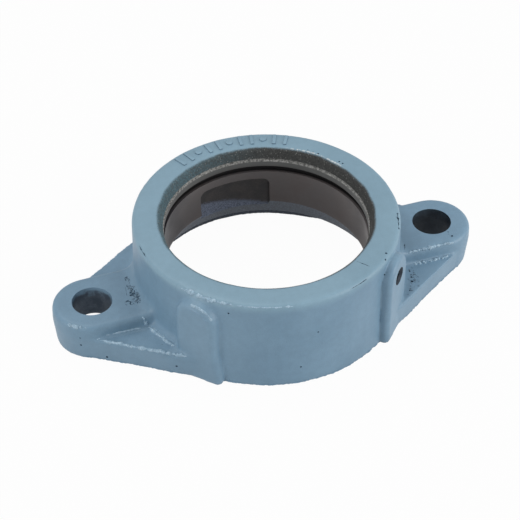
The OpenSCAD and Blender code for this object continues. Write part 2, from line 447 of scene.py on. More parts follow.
behind = calc("SUBTRACT", 1, in_front)
flare = product(behind, between(ragged, *FLARE_FALL))
dust = mixed(grains(0.6), FLARE_DARK, FLARE_DUST)
net.links.new(mixed(flare, coat, dust), shader.inputs["Base Color"])
dull = calc("MULTIPLY_ADD", calc("MAXIMUM", bare, flare), 0.25, 0.42)
net.links.new(calc("MULTIPLY_ADD", grain, 0.08, dull), shader.inputs["Roughness"])
relief = use(sand_grain, "Height", size=0.55)
relief = product(relief, calc("MULTIPLY_ADD", bare, 3, 1))
bumped(shader, relief, 0.6, 0.08)
print(paint.name, "has", len(net.nodes), "nodes in all")

# %% [markdown]
# The lathe leaves fine rings round the bore. The seat has a brown tint of old oil and is
# painted darker to the left, a painted shade. The lip is greyer, its bevel is bright, and the
# groove is made nearly black. Radius and height tell the surfaces apart, so one finish serves
# all that the lathe has cut. A sine of the height draws the rings, and a slow drift keeps them
# from being perfect.

# %% Turned iron
SEAT_BROWN = (0.094, 0.081, 0.080, 1)
SEAT_GREY = (0.112, 0.103, 0.104, 1)
SEAT_SHADE = (0.022, 0.024, 0.032, 1)
SHADED_SIDE = (105, 165)
LIP_LIGHT = (0.112, 0.115, 0.114, 1)
LIP_SHADE = (0.096, 0.098, 0.097, 1)
BEVEL_BRIGHT = (0.36, 0.36, 0.345, 1)
BEVEL_DARK = (0.075, 0.076, 0.074, 1)
GROOVE_BLACK = (0.024, 0.023, 0.024, 1)
RING_PITCH = 0.55
LIP_FOOT = LIP_LOW / MM
LIP_HEAD = LIP_HIGH / MM
SHELF = SEAT_TOP / MM
GROOVE_RISE = (LIP_R / MM + 0.5, LIP_R / MM + 1.5)


def tool_rings(height, pitch, sway):
    """Rings one pitch apart in mm, as a wave from 0 to 1."""
    phase = calc("MULTIPLY_ADD", height, 2 * pi / pitch, sway)
    return calc("MULTIPLY_ADD", calc("SINE", phase), 0.5, 0.5)


turned_iron, shader = new_finish("turned_iron", 0.45, 0.2, 0.2)
where = place("Group", node_tree=on_housing).outputs
radius, height, aside = where["Radius"], where["Height"], where["Aside"]
wander = drift(9)
rings = tool_rings(height, RING_PITCH, calc("MULTIPLY", wander, 2))
metal = mixed(wander, SEAT_BROWN, SEAT_GREY)
# Painted shade: the seat is made darker and bluer towards the left.
metal = mixed(between(aside, *SHADED_SIDE), metal, SEAT_SHADE)
lip = mixed(between(height, LIP_FOOT, LIP_HEAD), LIP_SHADE, LIP_LIGHT)
metal = mixed(between(height, LIP_FOOT - 0.1, LIP_FOOT + 0.1), metal, lip)
metal = shaded(metal, rings, 0.9, 1.08)
bright = mixed(grains(0.75), BEVEL_DARK, BEVEL_BRIGHT)
metal = mixed(between(height, LIP_HEAD - 0.25, LIP_HEAD + 0.05), metal, bright)
over_shelf = between(height, SHELF - 0.3, SHELF - 0.1)
under_lip = between(height, LIP_FOOT + 0.15, LIP_FOOT)
# The groove below the lip is made nearly black.
in_groove = product(between(radius, *GROOVE_RISE), over_shelf, under_lip)
metal = mixed(in_groove, metal, GROOVE_BLACK)
net.links.new(metal, shader.inputs["Base Color"])
net.links.new(calc("MULTIPLY_ADD", wander, 0.15, 0.38), shader.inputs["Roughness"])
bumped(shader, rings, 0.3, 0.02)
print(turned_iron.name, "has", len(net.nodes), "nodes")

# %% [markdown]
# Drilled walls are dark iron. A drill leaves rings too, a little wider and less even than the
# lathe's. Some spray has drifted onto the top of the bolt holes. The hole on the left is made far
# lighter and takes more of the spray's blue, a painted light from that side.

# %% Drilled iron
DRILL_DARK = (0.016, 0.022, 0.030, 1)
DRILL_MARK = (0.038, 0.047, 0.058, 1)
DRILL_PITCH = 0.7
SPRAY_DRIFT = (0.050, 0.080, 0.108, 1)
SPRAY_RISE = (PAD_Z / MM - 3, PAD_Z / MM + 1)
PAD_FALL = (PAD_Z / MM + 1, PAD_Z / MM + 0.5)
LIT_SIDE = (80, 100)
HOLE_LIGHT_GAIN = (1.35, 4.2)

drilled_iron, shader = new_finish("drilled_iron", 0.5, 0.2, 0.15)
where = place("Group", node_tree=on_housing).outputs
height = where["Height"]
left_lit = between(where["Aside"], *LIT_SIDE)
wander = drift(4)
sway = calc("MULTIPLY", wander, 3)
marks = tool_rings(height, DRILL_PITCH, sway)
metal = mixed(product(marks, wander), DRILL_DARK, DRILL_MARK)
sprayed = between(calc("ADD", sway, height), *SPRAY_RISE)
# Painted light: the left hole gets more of the blue and is made lighter.
sprayed = product(sprayed, calc("MULTIPLY_ADD", left_lit, 0.8, 0.2))
sprayed = product(sprayed, between(height, *PAD_FALL))
metal = shaded(mixed(sprayed, metal, SPRAY_DRIFT), left_lit, *HOLE_LIGHT_GAIN)
net.links.new(metal, shader.inputs["Base Color"])
net.links.new(calc("MULTIPLY_ADD", marks, 0.2, 0.4), shader.inputs["Roughness"])
bumped(shader, marks, 0.3, 0.03)
print(drilled_iron.name, "has", len(net.nodes), "nodes")

# %% [markdown]
# The loading slots are cored: bare and rusty above, with a thin dust of paint below a slanting
# line. The mounting face is milled and bare. Both are short nets that use the same groups.

# %% Cored and milled iron
CORE_DARK = (0.014, 0.013, 0.015, 1)
CORE_RUST = (0.036, 0.031, 0.031, 1)
SLOT_SHADE = (0.075, 0.090, 0.122, 1)
SLOT_DUST = (0.235, 0.280, 0.390, 1)
DUST_TOP = 15.5
DUST_SLOPE = 0.17
DUST_BLUR = (-1.2, 0.6)
MILLED_DARK = (0.150, 0.150, 0.148, 1)
MILLED_LIGHT = (0.300, 0.300, 0.292, 1)

cored_iron, shader = new_finish("cored_iron", 0.7)
metal = mixed(drift(5), CORE_DARK, CORE_RUST)
grain = grains(0.6)
metal = shaded(metal, grain, 0.7, 1.2)
where = place("Group", node_tree=on_housing).outputs
past_middle = calc("SUBTRACT", where["Aside"], 90)
dust_line = calc("MULTIPLY_ADD", past_middle, DUST_SLOPE, DUST_TOP)
rough_height = calc("MULTIPLY_ADD", grain, 1.5, where["Height"])
under_line = between(calc("SUBTRACT", dust_line, rough_height), *DUST_BLUR)
metal = mixed(under_line, metal, mixed(grain, SLOT_SHADE, SLOT_DUST))
net.links.new(metal, shader.inputs["Base Color"])
bumped(shader, use(sand_grain, "Height", size=0.8), 0.6, 0.1)

milled_iron, shader = new_finish("milled_iron", 0.4, 0.5)
metal = mixed(drift(7), MILLED_DARK, MILLED_LIGHT)
metal = shaded(metal, grains(0.4), 0.88, 1.08)
net.links.new(metal, shader.inputs["Base Color"])
dull = calc("MULTIPLY_ADD", drift(3), 0.2, 0.32)
net.links.new(dull, shader.inputs["Roughness"])
print("more iron finishes:", cored_iron.name, "and", milled_iron.name)

# %% [markdown]
# Three small finishes are for the faults that every sand casting has: fins of flash whose paint
# is rubbed thin, crusts of sand that burnt on, and pits where a grain fell out. The rubbed finish
# is also light as a painted highlight where fins and rounded edges catch the light, and the pit
# finish is dark as painted shade inside pits and cracks.

# %% Finishes of the casting's faults
RUBBED_HIGHLIGHT_DEEP = (0.220, 0.345, 0.450, 1)
RUBBED_HIGHLIGHT_BRIGHT = (0.365, 0.505, 0.610, 1)
CRUST_DARK = (0.060, 0.100, 0.140, 1)
CRUST_LIGHT = (0.160, 0.258, 0.345, 1)
PIT_SHADE_DARK = (0.018, 0.036, 0.058, 1)
PIT_SHADE_EDGE = (0.066, 0.120, 0.172, 1)

# Rubbed paint, made light also as a painted highlight along edges.
rubbed_paint_and_highlight, shader = new_finish("rubbed_paint_and_highlight", 0.5)
tone = mixed(drift(1.6), RUBBED_HIGHLIGHT_DEEP, RUBBED_HIGHLIGHT_BRIGHT)
tone = shaded(tone, grains(0.4), 0.8, 1.1)
net.links.new(tone, shader.inputs["Base Color"])

burnt_sand, shader = new_finish("burnt_sand", 0.65)
tone = mixed(grains(0.9), CRUST_DARK, CRUST_LIGHT)
net.links.new(tone, shader.inputs["Base Color"])
bumped(shader, use(sand_grain, "Height", size=0.6), 0.7, 0.12)

# Painted shade: pit, crack and groove walls are made dark blue, as the shade inside them.
pit_shade, shader = new_finish("pit_shade", 0.8, specular=0.2)
tone = mixed(grains(0.5), PIT_SHADE_DARK, PIT_SHADE_EDGE)
net.links.new(tone, shader.inputs["Base Color"])
print("fault finishes:", [made.name for made in (rubbed_paint_and_highlight, burnt_sand, pit_shade)])

# %% [markdown]
# The modelling repeats a few steps: apply a modifier, join or cut with a closed tool, turn a
# profile about the bore's axis, set a bar between two points. The boolean hands the tool's
# finish to the faces that it makes, so each cut brings the look of its tool along.

# %% Helpers for modelling
TURN_STEPS = 256
MERGE = 0.001 * MM


def only(obj):
    """Selects one object and makes it the active one."""
    deselect()
    obj.select_set(True)
    bpy.context.view_layer.objects.active = obj


def mode(name):
    """Opens the active object's mesh with EDIT and closes it with OBJECT."""
    bpy.ops.object.mode_set(mode=name)


def settle():
    """Writes the selected object's place, turn and scale into its mesh."""
    bpy.ops.object.transform_apply(location=True, rotation=True, scale=True)


def modifier(obj, kind, **settings):
    """Adds a modifier with its settings and applies it."""
    only(obj)
    made = obj.modifiers.new(kind.lower(), kind)
    for name, value in settings.items():
        setattr(made, name, value)
    bpy.ops.object.modifier_apply(modifier=made.name)


def combine(obj, tool, operation, finish=None):
    """Joins a closed tool to a piece or cuts the piece with it. New faces get the tool's finish."""
    if finish:
        tool.data.materials.clear()
        tool.data.materials.append(finish)
    modifier(obj, "BOOLEAN", object=tool, operation=operation, solver="MANIFOLD",
             material_mode="TRANSFER")
    only(tool)
    bpy.ops.object.delete()


def turned(name, profile, steps=TURN_STEPS):
    """A solid of revolution about Z, from a closed profile of (radius, height) points."""
    deselect()
    bpy.ops.mesh.primitive_circle_add(vertices=len(profile))
    solid = bpy.context.object
    solid.name = name
    for vertex, (radius, height) in zip(solid.data.vertices, profile):
        vertex.co = (radius, 0, height)
    mode("EDIT")
    bpy.ops.mesh.select_mode(type="EDGE")
    bpy.ops.mesh.select_all(action="DESELECT")
    mode("OBJECT")
    for edge in solid.data.edges:
        edge.select = any(profile[i][0] > 0 for i in edge.vertices)
    mode("EDIT")
    bpy.ops.mesh.spin(steps=steps, angle=2 * pi, center=(0, 0, 0), axis=(0, 0, 1))
    bpy.ops.mesh.select_all(action="SELECT")
    bpy.ops.mesh.remove_doubles(threshold=MERGE)
    bpy.ops.mesh.delete_loose(use_faces=False)
    bpy.ops.mesh.select_all(action="SELECT")
    bpy.ops.mesh.normals_make_consistent(inside=False)
    mode("OBJECT")
    return solid


def rod(name, radius, start, end, vertices=96):
    """A round bar between two points."""
    along = end - start
    deselect()
    bpy.ops.mesh.primitive_cylinder_add(
        vertices=vertices, radius=radius, depth=along.length, location=(start + end) / 2,
        rotation=along.to_track_quat("Z", "Y").to_euler())
    bar = bpy.context.object
    bar.name = name
    settle()
    return bar


# %% [markdown]
# The rough casting comes first. The CAD mesh is loose triangles, so its copy is merged before
# anything else. The bore of a rough casting is smaller than the turned one, so a collar is
# added inside it, and the drilled holes are plugged. Every cut made later then has metal to cut.

# %% Rough casting with its bore still small
CORE_R = 39.4 * MM
COLLAR_R = 46.0 * MM
SHELF_FALL = 0.3 * MM
RELIEF_Z = 3.0 * MM
PLUG_EXTRA = 1.0 * MM
FLARE_R = 49.7 * MM
FLARE_SLOPE = (FLARE_R - SEAT_LOW_R) / (SEAT_LOW - RELIEF_Z)
BOSS_FACE = 57.6 * MM
MOUTH_R = LIP_R + LIP_BEVEL

cad = frame["nodes"]["housing"]
only(cad)
bpy.ops.object.duplicate()
housing = bpy.context.object
housing.name = "painted_housing"
housing.parent = None
for key in list(housing.keys()):
    del housing[key]
mode("EDIT")
bpy.ops.mesh.select_all(action="SELECT")
bpy.ops.mesh.remove_doubles(threshold=MERGE)
mode("OBJECT")
housing.data.materials.clear()
housing.data.materials.append(paint)

collar = turned("collar", [
    (CORE_R, SEAT_LOW + (SEAT_LOW_R - CORE_R) / FLARE_SLOPE),
    (SEAT_LOW_R, SEAT_LOW),
    (COLLAR_R, SEAT_LOW),
    (COLLAR_R, MOUTH_LOW),
    (MOUTH_R, MOUTH_LOW),
    (CORE_R, MOUTH_LOW - SHELF_FALL),
])
combine(housing, collar, "UNION", paint)
for side in (-1, 1):
    foot = Vector((side * BOLT_X, 0, RELIEF_Z))
    plug = rod("bolt_plug", BOLT_R + PLUG_EXTRA, foot, foot + Vector((0, 0, PAD_Z - RELIEF_Z)))
    combine(housing, plug, "UNION", paint)
grease_height = Vector((0, 0, GREASE_AT.z))
plug = rod("grease_plug", GREASE_R + PLUG_EXTRA, grease_height + COLLAR_R * GREASE_OUT,
           grease_height + BOSS_FACE * GREASE_OUT)
combine(housing, plug, "UNION", paint)
print("rough casting:", len(housing.data.vertices), "vertices,", len(housing.data.polygons), "faces")

# %% [markdown]
# Sand leaves no sharp edge and no true plane. A voxel remesh gives the casting an even net of
# small faces. The skin grows most on the ring, where it had the most iron to feed it, and thins
# out towards the lugs. Smoothing rounds every edge, most of all in the corners between pads and
# ring. Two displacements lift and sink the skin: a broad one for the unevenness of the mould and
# a fine one for the sand. The boss that isn't drilled is rounder, and it leans, because its
# loose pattern piece had worn and shifted in the mould.

# %% Sand-cast skin
SKIN_VOXEL = 0.5 * MM
SKIN_THICK = 0.45 * MM
THICK_UNTIL = 50 * MM
THIN_FROM = 64 * MM
SKIN_ROUNDS = 7
BOSS_ROUNDS = 45
BOSS_HALF_ANGLE = radians(13)
BOSS_EASE = 0.8
BOSS_SKIN_R = 51 * MM
LEAN_TURN = radians(-2.0)
LEAN_FROM = 3 * MM
LEAN_TO = 18 * MM
CORNER_ROUNDS = 60
CORNER_AT = Vector((55.2, 14.9, 15.0)) * MM
CORNER_REACH = 7.0 * MM
MOULD_WAVE = 14 * MM
MOULD_LIFT = 0.22 * MM
SAND_WAVE = 2.2 * MM
SAND_LIFT = 0.07 * MM
SKIN_TRIANGLES = 130000


def cast_noise(name, wave, depth=2):
    """A soft procedural noise whose swells are one wave long."""
    swell = bpy.data.textures.new(name, "CLOUDS")
    swell.noise_scale = wave
    swell.noise_depth = depth
    swell.noise_basis = "IMPROVED_PERLIN"
    return swell


def eased(value, start, end):
    """Goes smoothly from 0 at start to 1 at end."""
    share = min(1, max(0, (value - start) / (end - start)))
    return share * share * (3 - 2 * share)


modifier(housing, "REMESH", mode="VOXEL", voxel_size=SKIN_VOXEL)
ring_skin = housing.vertex_groups.new(name="ring_skin")
for vertex in housing.data.vertices:
    ring_skin.add([vertex.index], eased(abs(vertex.co.x), THIN_FROM, THICK_UNTIL), "REPLACE")
modifier(housing, "DISPLACE", strength=SKIN_THICK, mid_level=0, vertex_group="ring_skin")
modifier(housing, "SMOOTH", factor=0.5, iterations=SKIN_ROUNDS)
blank_boss = -pi - atan2(GREASE_OUT.y, GREASE_OUT.x)
boss_skin = []
for vertex in housing.data.vertices:
    off = abs(atan2(vertex.co.y, vertex.co.x) - blank_boss)
    if off < BOSS_HALF_ANGLE and vertex.co.xy.length > BOSS_SKIN_R:
        share = eased(off, BOSS_HALF_ANGLE, BOSS_HALF_ANGLE * BOSS_EASE)
        share *= eased(vertex.co.z, LEAN_FROM, LEAN_TO)
        vertex.co.rotate(Matrix.Rotation(LEAN_TURN * share, 3, "Z"))
        if vertex.co.z > LEAN_FROM:
            boss_skin.append(vertex.index)
housing.vertex_groups.new(name="boss_skin").add(boss_skin, 1, "REPLACE")
modifier(housing, "SMOOTH", factor=0.5, iterations=BOSS_ROUNDS, vertex_group="boss_skin")
corner_skin = housing.vertex_groups.new(name="corner_skin")
softened = 0
for vertex in housing.data.vertices:
    mirrored = Vector((abs(vertex.co.x), abs(vertex.co.y), vertex.co.z))
    share = eased((mirrored - CORNER_AT).length, CORNER_REACH, CORNER_REACH / 2)
    if share > 0:
        corner_skin.add([vertex.index], share, "REPLACE")
        softened += 1
modifier(housing, "SMOOTH", factor=0.5, iterations=CORNER_ROUNDS, vertex_group="corner_skin")
swells = (("mould_swell", MOULD_WAVE, MOULD_LIFT), ("sand_skin", SAND_WAVE, SAND_LIFT))
for name, wave, lift in swells:
    modifier(housing, "DISPLACE", texture=cast_noise(name, wave), texture_coords="LOCAL",
             strength=lift, mid_level=0.5)
skin_faces = 2 * len(housing.data.polygons)
modifier(housing, "DECIMATE", ratio=min(1, SKIN_TRIANGLES / skin_faces))
print("cast skin:", len(housing.data.polygons), "faces,", len(boss_skin) + softened, "points softened")

# %% [markdown]
# Where the two halves of the mould met, iron ran into the joint and left thin ragged fins. Each
# fin is a grid wrapped into a tube round a path on the skin. The tube's thickness wanders, so
# the fin comes and goes, and it shrinks to nothing at both ends, which closes it. Soft fins sit
# deeper and are smoother, and low ones run round the foot. The same tube cuts the cracks and
# scratches, when it is taken away instead of added.

# %% Fins of flash and cracks
FIN_SIDES = 6
FIN_STEP = 0.35 * MM
FIN_WAVES = ((0.8, 2.6 * MM), (0.7, 0.8 * MM))
FIN_BODY = 0.75
FIN_LEAST = 0.1
FIN_MOST = 1.3
FIN_TAPER = 4
FIN_MERGE = 0.0005 * MM
SWAY_SHARE = 0.5
SWAY_WAVE = 1.3 * MM
SWAY_SHIFT = Vector((9, 0, 0))
FIN_SINK = 0.2
SOFT_SINK = 0.4
SOFT_ROUGH = 0.4
BOSS_CLIMB = 110
BOSS_STEP = 2.5
BOSS_POINTS = 37
RING_EDGE_R = 53.7 * MM
RING_EDGE_Z = RING_TOP - 0.6 * MM
FLANGE_Z = 11.0 * MM
LUG_X = BOLT_X + 0.8 * MM
LUG_R = BOLT_R + 7.3 * MM
EDGE_Z = PAD_Z - 0.4 * MM
EDGE_R = LUG_R - 0.6 * MM


def on_skin(point):
    """The nearest point of the casting's skin, with its normal."""
    return housing.closest_point_on_mesh(point)[1:3]


def straight(start, end):
    """Points along a line between two places in mm, a fin's step apart."""
    start, end = Vector(start) * MM, Vector(end) * MM
    steps = max(8, round((end - start).length / FIN_STEP))
    return [start.lerp(end, i / steps) for i in range(steps + 1)]


def arc(centre, radius, height, start, end):
    """Points along a level arc, with its angles in degrees."""
    steps = max(8, round(radius * abs(radians(end - start)) / FIN_STEP))
    turns = [radians(start + (end - start) * i / steps) for i in range(steps + 1)]
    return [Vector((centre + radius * cos(a), radius * sin(a), height)) for a in turns]


def fin(name, route, thick, breaks, sink=0.0, rough=1.0):
    """A ragged tube along a route. A higher share of breaks leaves more of it missing."""
    track = [on_skin(point) for point in route]
    last = len(track) - 1
    deselect()
    bpy.ops.mesh.primitive_grid_add(x_subdivisions=last, y_subdivisions=FIN_SIDES, size=1)
    tube = bpy.context.object
    tube.name = name
    for vertex in tube.data.vertices:
        i = round((vertex.co.x + 0.5) * last)
        around = 2 * pi * (vertex.co.y + 0.5)
        centre, outward = track[i]
        ahead = track[min(i + 1, last)][0] - track[max(i - 1, 0)][0]
        sideways = outward.cross(ahead).normalized()
        wander = sum(share * noise.noise(centre / wave) for share, wave in FIN_WAVES)
        size = thick * min(FIN_MOST, max(FIN_LEAST, FIN_BODY - breaks + rough * wander))
        ends = min(1, i / FIN_TAPER, (last - i) / FIN_TAPER)
        sway = SWAY_SHARE * rough * thick * noise.noise(centre / SWAY_WAVE + SWAY_SHIFT)
        ring = cos(around) * outward + sin(around) * sideways
        vertex.co = centre + ends * (sway * sideways + size * ring) - sink * thick * outward
    mode("EDIT")
    bpy.ops.mesh.select_all(action="SELECT")
    bpy.ops.mesh.remove_doubles(threshold=FIN_MERGE)
    bpy.ops.mesh.normals_make_consistent(inside=False)
    mode("OBJECT")
    return tube


def boss_arc(radius):
    """Points along the round top of the boss that isn't drilled."""
    points = []
    for i in range(BOSS_POINTS):
        climb = radians(BOSS_CLIMB - BOSS_STEP * i)
        lean = blank_boss + LEAN_TURN + radius * cos(climb) / BOSS_FACE
        points.append(Vector((BOSS_FACE * cos(lean), BOSS_FACE * sin(lean),
                              GREASE_AT.z + radius * sin(climb))))
    return points


near_flange = straight((-77.4, -15.3, 11.1), (-46.2, -36.8, 10.9))
left_pad = arc(-LUG_X, EDGE_R, EDGE_Z, 216, 252)
ring_edge = arc(0, RING_EDGE_R, RING_EDGE_Z, 212.6, 236)
right_pad = straight((57.5, -14.9, 16.9), (78.5, -14.9, 16.9))
right_foot = straight((60, -16.5, 11.3), (76, -16.5, 11.3))
left_corner = straight((-57.4, -15.4, 16.4), (-56, -15.6, 11.8))
left_blend = arc(0, 57.5 * MM, FLANGE_Z + 0.5 * MM, 196, 212)
fins = (
    ("near_flange_fin", near_flange, 0.72, -0.1),
    ("far_left_flange_fin", straight((-74, 18, 11), (-52, 33, 11)), 0.25, 0.2),
    ("far_right_flange_fin", straight((76, 17, 11), (50, 34.5, 11)), 0.25, 0.2),
    ("left_pad_fin", left_pad, 0.7, 0.0),
    ("left_corner_fin", left_corner, 0.65, 0.0),
    ("ring_edge_fin", ring_edge, 0.9, 0.0),
    ("ring_front_fin", arc(0, RING_EDGE_R, RING_EDGE_Z, 237, 262), 0.5, 0.25),
    ("right_pad_fin", right_pad, 0.6, 0.05),
    ("right_foot_fin", right_foot, 0.6, 0.1),
    ("right_end_fin", straight((85.9, -10.6, 16), (85.4, -11.3, 4.5)), 0.45, 0.25),
)
# Most fins take the rubbed finish, a painted highlight along their edges as well as rubbed paint.
for name, route, thick, breaks in fins:
    combine(housing, fin(name, route, thick * MM, breaks, FIN_SINK), "UNION", rubbed_paint_and_highlight)
soft_fins = (
    ("left_foot_fin", straight((-74, -15.5, 12.0), (-58.2, -15.6, 11.6)), 0.6, rubbed_paint_and_highlight),
    ("left_blend_fin", left_blend, 1.2, rubbed_paint_and_highlight),
    ("boss_upper_edge", boss_arc(8.6 * MM), 0.75, rubbed_paint_and_highlight),
    ("boss_lower_edge", boss_arc(6.4 * MM), 0.6, paint),
)
# The soft fins on the blend and on the boss's top carry a painted highlight where rounded edges catch
# the light.
for name, route, thick, finish in soft_fins:
    combine(housing, fin(name, route, thick * MM, 0.0, SOFT_SINK, SOFT_ROUGH), "UNION", finish)
foot_fins = (
    ("flange_foot_fin", straight((-84, -11.5, 0.3), (-47, -36, 0.3)), 0.34, 0.1),
    ("ring_foot_fin", arc(0, 55 * MM, 0.3 * MM, -134, -46), 0.34, 0.15),
    ("right_foot_edge_fin", straight((47, -36, 0.3), (84, -11.5, 0.3)), 0.34, 0.15),
)
for name, route, thick, breaks in foot_fins:
    combine(housing, fin(name, route, thick * MM, breaks), "UNION", paint)
cracks = (
    ("left_edge_crack", arc(0, 53.45 * MM, RING_TOP - 0.35 * MM, 180.3, 189), 0.3, 0.1),
    ("face_scratch", straight((23.8, -38.2, 41.6), (27.8, -43.2, 41.6)), 0.17, 0.0),
    ("ring_right_crack", straight((50.4, -16.2, 41.5), (47.2, -25.2, 41.3)), 0.4, 0.2),
    ("front_edge_crack", arc(0, 53.8 * MM, RING_TOP - 0.7 * MM, -73, -62), 0.2, 0.25),
    ("left_corner_crack", straight((-59.5, 3.5, 17.4), (-60.4, -1.8, 17.4)), 0.2, 0.1),
    ("right_corner_crack", straight((58, -9.8, 17.3), (56.2, -13.4, 17.5)), 0.36, 0.0),
)
# Cracks take the pit finish, dark as painted shade.
for name, route, thick, breaks in cracks:
    combine(housing, fin(name, route, thick * MM, breaks), "DIFFERENCE", pit_shade)
fin_count = len(fins) + len(soft_fins) + len(foot_fins)
print(fin_count, "fins and", len(cracks), "cracks, casting has", len(housing.data.polygons), "faces")

# %% [markdown]
# In the corners the hot iron took grains of sand with it, and along the fins it left beads. Each
# heap is a number of small balls on the skin, fused by a voxel remesh into one knobbly lump.
# Where a crust broke away it left a tangle of short grooves, which are made in the same way from
# curled tubes. A random generator with a fixed seed strews them, so every run gives the same casting.

# %% Crusts of burnt-on sand
CRUST_VOXEL = 0.22 * MM
GROOVE_VOXEL = 0.11 * MM
GROOVE_POINTS = 13
GRAIN_SPAN = (0.5, 1.2)
GRAIN_SINK = 0.35
CRUST_SHARE = 0.4
GROOVE_SHARE = 0.5
GROOVE_BEND = (0.35, 1.0)
GROOVE_SWEEP = (1.2, 3.5)
GROOVE_SPAN = (0.7, 1.2)


def ball(radius, spot):
    """A small ball at a place."""
    deselect()
    bpy.ops.mesh.primitive_ico_sphere_add(subdivisions=2, radius=radius, location=spot)
    return bpy.context.object


def joined(lead, parts):
    """Makes one object of several, led by one of them."""
    deselect()
    for part in parts:
        part.select_set(True)
    bpy.context.view_layer.objects.active = lead
    bpy.ops.object.join()
    return bpy.context.object


def fused(parts, name, voxel, share):
    """Joins overlapping solids into one closed solid."""
    whole = joined(parts[0], parts)
    whole.name = name
    settle()
    modifier(whole, "REMESH", mode="VOXEL", voxel_size=voxel)
    modifier(whole, "DECIMATE", ratio=share)
    return whole


def near(route, spread, strewn):
    """A random place on the skin beside a route, with its normal."""
    off = Vector([strewn.uniform(-spread, spread) for _ in range(3)])
    return on_skin(strewn.choice(route) + off)


def crust(name, route, spread, count, size, seed):
    """A heap of grains strewn along a route on the skin."""
    strewn = random.Random(seed)
    heap = []
    for _ in range(count):
        spot, normal = near(route, spread, strewn)
        radius = size * strewn.uniform(*GRAIN_SPAN)
        heap.append(ball(radius, spot - GRAIN_SINK * radius * normal))
    return fused(heap, name, CRUST_VOXEL, CRUST_SHARE)


def tangle(name, route, spread, count, size, seed):
    """Short curled grooves strewn along a route on the skin."""
    strewn = random.Random(seed)
    grooves = []
    for _ in range(count):
        spot, normal = near(route, spread, strewn)
        aside = normal.orthogonal().normalized()
        across = normal.cross(aside)
        bend = strewn.uniform(*GROOVE_BEND) * MM
        first = strewn.uniform(0, 2 * pi)
        sweep = strewn.uniform(*GROOVE_SWEEP)
        turns = [first + sweep * k / (GROOVE_POINTS - 1) for k in range(GROOVE_POINTS)]
        curl = [spot + bend * (cos(a) * aside + sin(a) * across) for a in turns]
        grooves.append(fin("groove", curl, size * strewn.uniform(*GROOVE_SPAN), 0.0))
    return fused(grooves, name, GROOVE_VOXEL, GROOVE_SHARE)


upper_corner = straight((-58.0, 9.5, 17.3), (-57.4, 1.5, 17.6))
lower_corner = straight((-57.2, 1.0, 17.6), (-57.4, -6.4, 17.4))
corner_foot = straight((-61.6, -5.3, 17.4), (-56.4, -6.9, 17.4))
ring_right = straight((50.3, -16.5, 41.4), (47.4, -24.8, 41.2))
right_ledge = straight((57.0, -19, 11), (54.8, -28, 11))
# The beads in the rubbed finish are light as painted highlights too.
crusts = (
    ("left_corner_crust", upper_corner, 0.9, 14, 0.6, burnt_sand),
    ("left_corner_lumps", lower_corner, 1.4, 20, 0.7, burnt_sand),
    ("ring_edge_crust", ring_right, 0.5, 12, 0.4, burnt_sand),
    ("right_ledge_crust", right_ledge, 1.6, 20, 0.4, burnt_sand),
    ("right_foot_crust", straight((52.5, -29.2, 11), (50.5, -33, 11)), 0.8, 8, 0.4, burnt_sand),
    ("right_pad_crust", straight((76.5, -7.5, 17.3), (79, -13, 17.2)), 0.8, 8, 0.3, burnt_sand),
    ("near_flange_beads", near_flange, 0.4, 30, 0.42, rubbed_paint_and_highlight),
    ("left_pad_beads", left_pad, 0.5, 14, 0.4, rubbed_paint_and_highlight),
    ("ring_edge_beads", ring_edge, 0.5, 12, 0.5, rubbed_paint_and_highlight),
    ("left_blend_beads", left_blend, 0.8, 9, 0.45, rubbed_paint_and_highlight),
    ("right_pad_beads", right_pad, 0.6, 44, 0.5, rubbed_paint_and_highlight),
    ("right_foot_beads", right_foot, 0.6, 36, 0.5, rubbed_paint_and_highlight),
    ("left_corner_beads", left_corner, 0.4, 7, 0.42, rubbed_paint_and_highlight),
)
for seed, (name, route, spread, count, size, finish) in enumerate(crusts):
    combine(housing, crust(name, route, spread * MM, count, size * MM, seed), "UNION", finish)
tangles = (
    ("upper_corner_grooves", upper_corner, 0.9, 16, 0.17, pit_shade),
    ("lower_corner_grooves", lower_corner, 1.5, 40, 0.2, pit_shade),
    ("right_ledge_grooves", right_ledge, 1.8, 22, 0.16, burnt_sand),
    ("corner_foot_grooves", corner_foot, 0.9, 24, 0.18, pit_shade),
)
for seed, (name, route, spread, count, size, finish) in enumerate(tangles):
    combine(housing, tangle(name, route, spread * MM, count, size * MM, seed), "DIFFERENCE", finish)
print(len(crusts), "crusts,", len(tangles), "tangles, casting has", len(housing.data.polygons), "faces")

# %% [markdown]
# Pits are the opposite: grains that fell out. Small balls half sunk in the skin cut them. Most
# lie where the photograph shows them, on the near wall, in the corners and beside the mouth. On
# the sides that it doesn't show, a few more are strewn.

# %% Pits in the skin
PIT_SIZE = 0.45 * MM
PIT_SPAN = (0.6, 1.25)
PIT_RISE = 0.25
PIT_CLEAR = 4 * MM
PIT_SEED = 21
STREWN_PITS = 24
FACING_AWAY = -0.1
WALL_R = 54.4


def on_wall(turn, height):
    """A point on the ring's outer wall, from an angle in degrees and a height in mm."""
    angle = radians(turn)
    return Vector((WALL_R * cos(angle), WALL_R * sin(angle), height)) * MM


